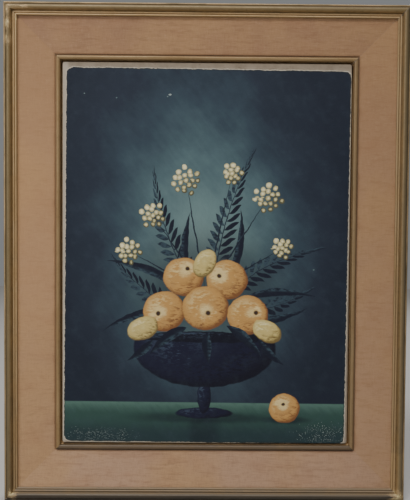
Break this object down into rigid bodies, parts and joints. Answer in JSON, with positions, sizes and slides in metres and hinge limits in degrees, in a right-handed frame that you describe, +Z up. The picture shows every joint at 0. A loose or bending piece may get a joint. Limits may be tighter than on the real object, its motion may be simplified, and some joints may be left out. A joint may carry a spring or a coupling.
{
  "type": "framed oil painting",
  "caption": "Upright oil painting on a stretched canvas, floating in a gilt slip inside a sloping linen liner and a gilt wooden moulding, with a toothed strip on the back to hang it by.",
  "frame": {"origin": "the middle of the back face of the frame's top rail, which lies against the wall", "axes": "+Z up, +Y into the wall, +X to the right of someone who looks at the picture; the painted side faces -Y"},
  "size_m": [0.6436, 0.039, 0.7936],
  "materials": {
    "frame_gilding": "worn olive gold over brown bole, satin",
    "slip_gilding": "toned gold, satin",
    "linen": "coarse natural linen, matte and a little soiled",
    "liner_wood": "bare softwood, matte",
    "stretcher_wood": "bare pine, matte",
    "canvas": "oil paint on primed canvas, low sheen",
    "steel": "dull plated steel"
  },
  "bodies": {
    "root": {"frame_top": "frame_gilding", "frame_right": "frame_gilding", "frame_bottom": "frame_gilding", "frame_left": "frame_gilding", "liner_top": "liner_wood", "liner_right": "liner_wood", "liner_bottom": "liner_wood", "liner_left": "liner_wood", "linen_top": "linen", "linen_right": "linen", "linen_bottom": "linen", "linen_left": "linen", "slip_top": "slip_gilding", "slip_right": "slip_gilding", "slip_bottom": "slip_gilding", "slip_left": "slip_gilding", "stretcher_top": "stretcher_wood", "stretcher_right": "stretcher_wood", "stretcher_bottom": "stretcher_wood", "stretcher_left": "stretcher_wood", "canvas": "canvas", "hanging_strip": "steel", "strip_nail_left": "steel", "strip_nail_right": "steel"}
  },
  "joints": []
}
